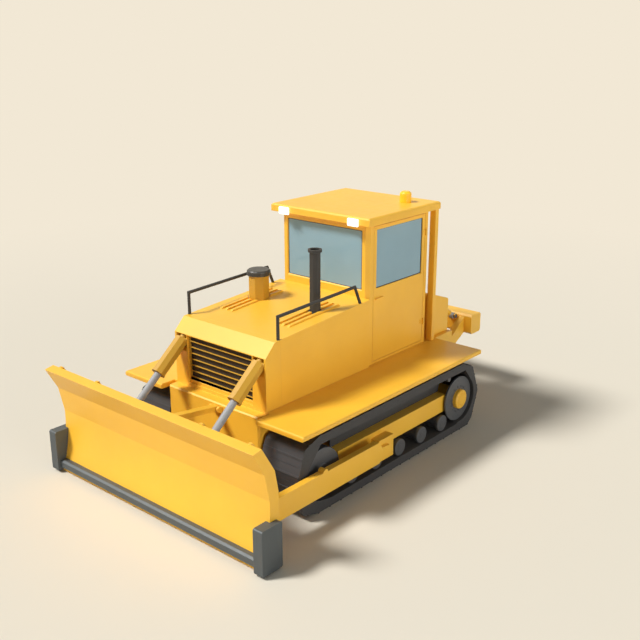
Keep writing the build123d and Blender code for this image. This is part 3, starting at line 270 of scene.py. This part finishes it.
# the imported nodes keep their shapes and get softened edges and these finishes
SOFT_EDGE = 0.01
SOFT_EDGES = {
    "grille": 0.003, "windshield": 0.001, "rear_window": 0.001, "door_glass_left": 0.001,
    "door_glass_right": 0.001, "track_left": 0.004, "track_right": 0.004,
    "handrails": 0.003, "engine_and_radiator": 0.003, "cutting_edge": 0.005, "end_bits": 0.012,
    "lift_rod_left": 0.003, "lift_rod_right": 0.003, "ripper_rods": 0.002, "ripper_barrels": 0.005,
    "exhaust_stack": 0.003, "pre_cleaner": 0.005, "beacon": 0.004, "fuel_tank": 0.012,
    "roof_lamps": 0.007, "cab_roof": 0.006, "mouldboard": 0.01, "main_frame": 0.012,
    "controls": 0.004, "lift_barrel_left": 0.007, "lift_barrel_right": 0.007,
    "track_rollers": 0.008, "idlers": 0.012, "sprockets": 0.006, "final_drives": 0.008,
}


def soften(obj, width):
    """Bevel the object's sharp edges, unless width is 0, and shade its flat faces flat."""
    if width:
        edge = obj.modifiers.new("edge", "BEVEL")
        edge.width = width
        edge.segments = 2
        edge.limit_method = "ANGLE"
        edge.angle_limit = radians(32)
    shade = obj.modifiers.new("shade", "WEIGHTED_NORMAL")
    shade.keep_sharp = True


for name, obj in NODES.items():
    for slot in obj.material_slots:
        slot.material = FINISH[slot.material.name.split(".")[0]]
    weld = obj.modifiers.new("weld", "WELD")
    weld.merge_threshold = 0.00002
    flat = obj.modifiers.new("flat", "DECIMATE")
    flat.decimate_type = "DISSOLVE"
    flat.angle_limit = radians(0.4)
    soften(obj, SOFT_EDGES.get(name, SOFT_EDGE))
NODES["pre_cleaner"].material_slots[0].material = CLEANER_FINISH
# the grille and lift barrels take the darker painted-shade copy of the yellow
for name in NODES:
    if name == "grille" or name.startswith("lift_barrel"):
        NODES[name].material_slots[0].material = SHADED_FINISH


# ---------------------------------------------------------------- mesh kit
class Shape:
    """Closed solids gathered into one mesh."""

    def __init__(self):
        self.bm = bmesh.new()

    def loops(self, rings, cyclic=False):
        """Skin a run of equal rings of points and cap its ends."""
        made = [[self.bm.verts.new(p) for p in ring] for ring in rings]
        pairs = list(zip(made, made[1:]))
        if cyclic:
            pairs.append((made[-1], made[0]))
        for low, high in pairs:
            for i in range(len(low)):
                j = (i + 1) % len(low)
                self.bm.faces.new((low[i], low[j], high[j], high[i]))
        if not cyclic:
            self.bm.faces.new(made[0][::-1])
            self.bm.faces.new(made[-1])
        return self

    def prism(self, points, depth):
        return self.loops([[Vector(p) for p in points], [Vector(p) + Vector(depth) for p in points]])

    def box(self, low, high):
        (a, b, c), (d, e, f) = low, high
        return self.prism(((a, b, c), (d, b, c), (d, e, c), (a, e, c)), (0, 0, f - c))

    def lathe(self, at, way, rows, sides=24, turn=0.0):
        """Turned solid: rows are (distance along way, radius)."""
        way = Vector(way).normalized()
        side = way.orthogonal().normalized()
        other = way.cross(side)
        angles = [2 * pi * i / sides + turn for i in range(sides)]
        return self.loops([
            [Vector(at) + way * along + (side * cos(a) + other * sin(a)) * radius for a in angles]
            for along, radius in rows])

    def bolt(self, at, way, size):
        """Hexagon head on a washer; size is the head's radius."""
        washer = ((-0.4, 1.3), (0.22, 1.3), (0.3, 1.22))
        head = ((0, 1), (0.75, 1), (0.9, 0.82))
        for rows, sides in ((washer, 14), (head, 6)):
            self.lathe(at, way, [(size * reach, size * radius) for reach, radius in rows], sides)
        return self

    def bolt_ring(self, centre, way, radius, count, size, turn=0.0):
        way = Vector(way).normalized()
        side = way.orthogonal().normalized()
        other = way.cross(side)
        for i in range(count):
            a = 2 * pi * i / count + turn
            self.bolt(Vector(centre) + (side * cos(a) + other * sin(a)) * radius, way, size)
        return self

    def pin_ends(self, eye, half, radius, bevel, thick=0.008, sunk=0.001, sides=20, bolt=0.0):
        """Chamfered heads on both ends of a cross pin, at half to each side of the eye's middle."""
        top = thick + 0.003
        for turn in (-1, 1):
            face = Vector(eye) + X * turn * half
            self.lathe(face, X * turn, ((-sunk, radius), (thick, radius), (top, radius - bevel)), sides)
            if bolt:
                self.bolt(face + X * turn * top, X * turn, bolt)
        return self

    def window_ring(self, low, high, normal, border, reach, corner):
        """Rounded frame inside a flat box's outline; normal is the box's thin axis."""
        thin = max(range(3), key=lambda i: abs(normal[i]))
        u, v = [i for i in range(3) if i != thin]
        middle = (low[thin] + high[thin]) / 2

        def loop(inset, radius, depth):
            points = []
            for sx, sy, start in ((1, 1, 0), (-1, 1, 90), (-1, -1, 180), (1, -1, 270)):
                cx = (high[u] if sx > 0 else low[u]) - sx * (inset + radius)
                cy = (high[v] if sy > 0 else low[v]) - sy * (inset + radius)
                for step in range(5):
                    a = radians(start + step * 22.5)
                    spot = [0.0, 0.0, 0.0]
                    spot[u], spot[v], spot[thin] = cx + radius * cos(a), cy + radius * sin(a), middle + depth
                    points.append(Vector(spot))
            return points

        return self.loops([
            loop(0, 0.002, -reach), loop(0, 0.002, reach),
            loop(border, corner, reach), loop(border, corner, -reach)], cyclic=True)


def piece(name, shape, slot, body="chassis", rounded=0.0):
    """Turn gathered solids into an object that rides on a body and takes a slot's finish."""
    mesh = bpy.data.meshes.new(name)
    bmesh.ops.recalc_face_normals(shape.bm, faces=shape.bm.faces)
    shape.bm.to_mesh(mesh)
    shape.bm.free()
    mesh.polygons.foreach_set("use_smooth", [True] * len(mesh.polygons))
    mesh.set_sharp_from_angle(angle=radians(38))
    mesh.materials.append(FINISH[slot])
    made = bpy.data.objects.new(name, mesh)
    bpy.context.scene.collection.objects.link(made)
    soften(made, rounded)
    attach(made, body)
    return made


# ---------------------------------------------------------------- cab
GASKET_WIDE, GASKET_REACH, GASKET_CORNER = 0.007, 0.008, 0.016
for pane, body in (
    ("windshield", "chassis"), ("rear_window", "chassis"),
    ("door_glass_left", "door_left"), ("door_glass_right", "door_right")
):
    low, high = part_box(pane)
    facing = X if body != "chassis" else Y
    ring = Shape().window_ring(low, high, facing, GASKET_WIDE, GASKET_REACH, GASKET_CORNER)
    piece(pane + "_gasket", ring, "dark_plastic", body, rounded=0.002)

# ---------------------------------------------------------------- nose and hood
SILL_HIGH, SILL_PROUD = 0.037, 0.004     # the strip under the lowest slat
grille_low, grille_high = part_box("grille")
sill = Shape().box(
    (grille_low.x, grille_low.y - SILL_PROUD, grille_low.z),
    (grille_high.x, grille_high.y, grille_low.z + SILL_HIGH))
piece("grille_sill", sill, "yellow_paint", rounded=0.003)

stack_low, stack_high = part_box("exhaust_stack")
stack = (stack_low + stack_high) / 2
HOOD_WAY = Vector((0, -0.0586, 1)).normalized()     # square to the sloping hood
piece(
    "stack_flange", Shape().lathe(
        (stack.x, stack.y, stack_low.z + 0.004), HOOD_WAY,
        ((0, 0.088), (0.009, 0.088), (0.012, 0.084), (0.012, 0.066)), 8, radians(22.5)), "dark_paint")

# plates that close the hood's rear where it stands out past the cab
CLOSER_IN = 0.66
hood_low, hood_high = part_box("engine_hood")
closers = Shape()
for side in SIDES:
    inner, outer = sorted((side * CLOSER_IN, side * (hood_high.x - 0.003)))
    closers.box(
        (inner, hood_high.y - 0.008, hood_low.z + 0.002), (outer, hood_high.y - 0.003, hood_high.z - 0.03))
piece("hood_closers", closers, "yellow_paint")

# ---------------------------------------------------------------- blade
LIFT_EYE = (-2.59, 1.017)       # along and up
BRACE_EYE = (0.11, -2.64, 1.15)
blade_pins = Shape()
for side in SIDES:
    blade_pins.pin_ends((side * 0.645, *LIFT_EYE), 0.0735, 0.036, 0.004, sunk=0, bolt=0.012)
blade_pins.pin_ends(BRACE_EYE, 0.0775, 0.028, 0.003, sunk=0, bolt=0.01)
piece("blade_pin_heads", blade_pins, "running_steel", "blade")

# ---------------------------------------------------------------- undercarriage
SPROCKET_AT = (1.305, 0.455)
IDLER_AT = (-1.53, 0.45)
ROLLER_FIRST, ROLLER_PITCH, ROLLER_UP, ROLLER_COUNT = -0.986, 0.4735, 0.225, 5
IDLER_ROWS = ((0, 0.12), (0.008, 0.12), (0.012, 0.112), (0.012, 0.07), (0.018, 0.064))
ROLLER_ROWS = ((0, 0.042), (0.003, 0.042), (0.0045, 0.038))
# how far out the faces are that carry the bolts and caps
SPROCKET_FACE, HUB_FACE, IDLER_FACE, ROLLER_FACE = 1.3485, 1.4055, 1.347, 1.3625
wheel_bolts, hub_bolts, roller_caps, idler_caps = Shape(), Shape(), Shape(), Shape()
for side in SIDES:
    way = X * side
    wheel_bolts.bolt_ring((side * SPROCKET_FACE, *SPROCKET_AT), way, 0.175, 14, 0.011)
    hub_bolts.bolt_ring((side * HUB_FACE, *SPROCKET_AT), way, 0.092, 8, 0.009)
    idler_caps.lathe((side * IDLER_FACE, *IDLER_AT), way, IDLER_ROWS, 32)
    idler_caps.bolt_ring((side * (IDLER_FACE + 0.0125), *IDLER_AT), way, 0.092, 8, 0.008)
    for index in range(ROLLER_COUNT):
        y = ROLLER_FIRST + index * ROLLER_PITCH
        roller_caps.lathe((side * ROLLER_FACE, y, ROLLER_UP), way, ROLLER_ROWS)
piece("sprocket_bolts", wheel_bolts, "running_steel")
piece("hub_bolts", hub_bolts, "yellow_paint")
piece("roller_caps", roller_caps, "running_steel")
piece("idler_caps", idler_caps, "running_steel")

# ---------------------------------------------------------------- ripper and rear
RIPPER_HINGE = (2.13, 0.56)
RIPPER_TRUNNION = (2.13, 1.43)
RIPPER_EYE = (2.686, 1.09)
BEAM_FACE = (3.011, 0.98)
hinge_pins, beam_fittings = Shape(), Shape()
for side in SIDES:
    hinge_pins.pin_ends(
        (side * 0.45, *RIPPER_HINGE), 0.092, 0.05, 0.005, thick=0.009, sides=24, bolt=0.014)
    hinge_pins.pin_ends((side * 0.33, *RIPPER_TRUNNION), 0.09, 0.036, 0.004)
    beam_fittings.pin_ends((side * 0.33, *RIPPER_EYE), 0.062, 0.03, 0.004)
    beam_fittings.bolt_ring((side * 0.2, *BEAM_FACE), Y, 0.07, 4, 0.013, radians(45))
piece("ripper_pin_heads", hinge_pins, "running_steel")
piece("ripper_beam_fittings", beam_fittings, "running_steel", "ripper")

TANK_WAY = Vector((0, 0.332, 0.943))    # square to the tank's sloping top
piece(
    "fuel_cap", Shape().lathe(
        (-0.42, 1.72, 1.685), TANK_WAY,
        ((0, 0.05), (0.018, 0.05), (0.02, 0.062), (0.038, 0.062), (0.044, 0.054)), 24), "dark_paint")

# ---------------------------------------------------------------- operator's seat
PAD_ROWS = (            # (share of the outline, height as a share of the thickness)
    (0.84, -0.5), (0.95, -0.4), (1.0, -0.15), (1.0, 0.1), (0.96, 0.32), (0.86, 0.46),
    (0.6, 0.56), (0.3, 0.6), (0.1, 0.61))
CUSHION_AT = Matrix.Translation((0, 0.797, 1.579))
BACK_AT = Matrix.Translation((0, 1.078, 1.885)) @ Matrix.Rotation(radians(84), 4, "X")
PAD_THICK = 0.08
PULL = 0.035            # how far the sides draw in between the corners, as a share
SWELL = 0.024           # the furthest that a point of the pads moves while they fill
CHANNEL_X, CHANNEL_WIDE, CHANNEL_DEEP = 0.12, 0.011, 0.009      # two sewn channels


def pad_rings(place, wide, long):
    """Rings of a crowned pad: a rounded rectangle whose sides pull in between its corners."""
    rings = []
    for share, height in PAD_ROWS:
        ring = []
        for step in range(64):
            turn = 2 * pi * step / 64
            c, s = cos(turn), sin(turn)
            corner = (abs(c) ** 5 + abs(s) ** 5) ** -0.2
            reach = corner * (1 - PULL * (1 - abs(sin(2 * turn)))) * share / 2
            ring.append(place @ Vector((c * reach * wide, s * reach * long, height * PAD_THICK)))
        rings.append(ring)
    return rings


def settled(obj):
    """The object's mesh as its modifiers leave it."""
    graph = bpy.context.evaluated_depsgraph_get()
    return bpy.data.meshes.new_from_object(obj.evaluated_get(graph))


pads = Shape()
pads.loops(pad_rings(CUSHION_AT, 0.46, 0.33))
pads.loops(pad_rings(BACK_AT, 0.45, 0.68))
seat = piece("seat_pads", pads, "seat_cloth")
seat.modifiers.clear()
skin = seat.modifiers.new("skin", "REMESH")
skin.mode = "VOXEL"
skin.voxel_size = 0.01
seat.data = settled(seat)
seat.modifiers.clear()
start = [v.co.copy() for v in seat.data.vertices]
swollen = [v.co + v.normal * SWELL * 0.6 for v in seat.data.vertices]
filling = seat.modifiers.new("filling", "CLOTH")
filling.settings.use_pressure = True
filling.settings.uniform_pressure_force = 4
filling.settings.effector_weights.gravity = 0
for frame_number in range(1, 21):
    bpy.context.scene.frame_set(frame_number)
swollen = [v.co.copy() for v in settled(seat).vertices]
seat.modifiers.clear()
bpy.context.scene.frame_set(1)
for vertex, before, after in zip(seat.data.vertices, start, swollen):
    move = after - before
    seam = CHANNEL_DEEP * exp(-(((abs(before.x) - CHANNEL_X) / CHANNEL_WIDE) ** 2))
    vertex.co = before + move * min(1, SWELL / max(move.length, 1e-6)) - vertex.normal * seam
seat.data.polygons.foreach_set("use_smooth", [True] * len(seat.data.polygons))
smooth = seat.modifiers.new("smooth", "SUBSURF")
smooth.levels = smooth.render_levels = 1
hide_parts("operator_seat")

# ---------------------------------------------------------------- floor, light and backdrop
FLOOR = linear(224, 216, 200)
BACKDROP = linear(242, 232, 213)


def seen_rays(tree):
    """1 for camera, glossy and transmission rays."""
    path = node(tree, "LightPath").outputs
    both = times(tree, path["Is Camera Ray"], path["Is Glossy Ray"], "MAXIMUM")
    return times(tree, both, path["Is Transmission Ray"], "MAXIMUM")


FLOOR_HALF, FLOOR_UP = 60.0, -0.001
mesh = bpy.data.meshes.new("floor")
mesh.from_pydata(
    [(x * FLOOR_HALF, y * FLOOR_HALF, FLOOR_UP) for x, y in ((-1, -1), (1, -1), (1, 1), (-1, 1))],
    [], [(0, 1, 2, 3)])
floor = bpy.data.objects.new("floor", mesh)
bpy.context.scene.collection.objects.link(floor)
floor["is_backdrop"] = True
floor_finish = bpy.data.materials.new("floor")
floor_finish.use_nodes = True
tree = floor_finish.node_tree
shader = tree.nodes["Principled BSDF"]
shader.inputs["Base Color"].default_value = FLOOR
shader.inputs["Roughness"].default_value = 0.9
shader.inputs["Specular IOR Level"].default_value = 0.1
place = node(tree, "TexCoord").outputs["Object"]
reach = node(tree, "VectorMath", {0: place}, operation="LENGTH").outputs["Value"]
# the floor fades into the backdrop's colour from 4 m to 15 m out, as the camera sees it
far = times(tree, ramp(tree, reach, 4.0, 15.0), seen_rays(tree))
lit = node(tree, "Emission", {"Color": BACKDROP, "Strength": 1.0})
mixed = node(tree, "MixShader", {0: far})
tree.links.new(shader.outputs[0], mixed.inputs[1])
tree.links.new(lit.outputs[0], mixed.inputs[2])
tree.links.new(mixed.outputs[0], tree.nodes["Material Output"].inputs["Surface"])
mesh.materials.append(floor_finish)

world = bpy.data.worlds.new("world")
bpy.context.scene.world = world
world.use_nodes = True
tree = world.node_tree
ambient = tree.nodes["Background"]
ambient.inputs["Color"].default_value = (0.9, 0.97, 1.0, 1)
ambient.inputs["Strength"].default_value = 0.22
backdrop = node(tree, "Background", {"Color": BACKDROP, "Strength": 1.0})
mixed = node(tree, "MixShader", {0: seen_rays(tree)})
tree.links.new(ambient.outputs[0], mixed.inputs[1])
tree.links.new(backdrop.outputs[0], mixed.inputs[2])
tree.links.new(mixed.outputs[0], tree.nodes["World Output"].inputs["Surface"])

for name, way, energy, spread, colour in (
    ("sun", (-0.40, -0.51, 0.76), 3.6, 14, (1.0, 0.99, 0.97)),
    ("fill", (0.99, -0.1, 0.05), 1.35, 28, (1.0, 1.0, 0.98))
):
    lamp_data = bpy.data.lights.new(name, "SUN")
    lamp_data.energy = energy
    lamp_data.angle = radians(spread)
    lamp_data.color = colour
    lamp = bpy.data.objects.new(name, lamp_data)
    bpy.context.scene.collection.objects.link(lamp)
    lamp.rotation_mode = "QUATERNION"
    lamp.rotation_quaternion = Vector(way).to_track_quat("Z", "Y")

low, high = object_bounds()
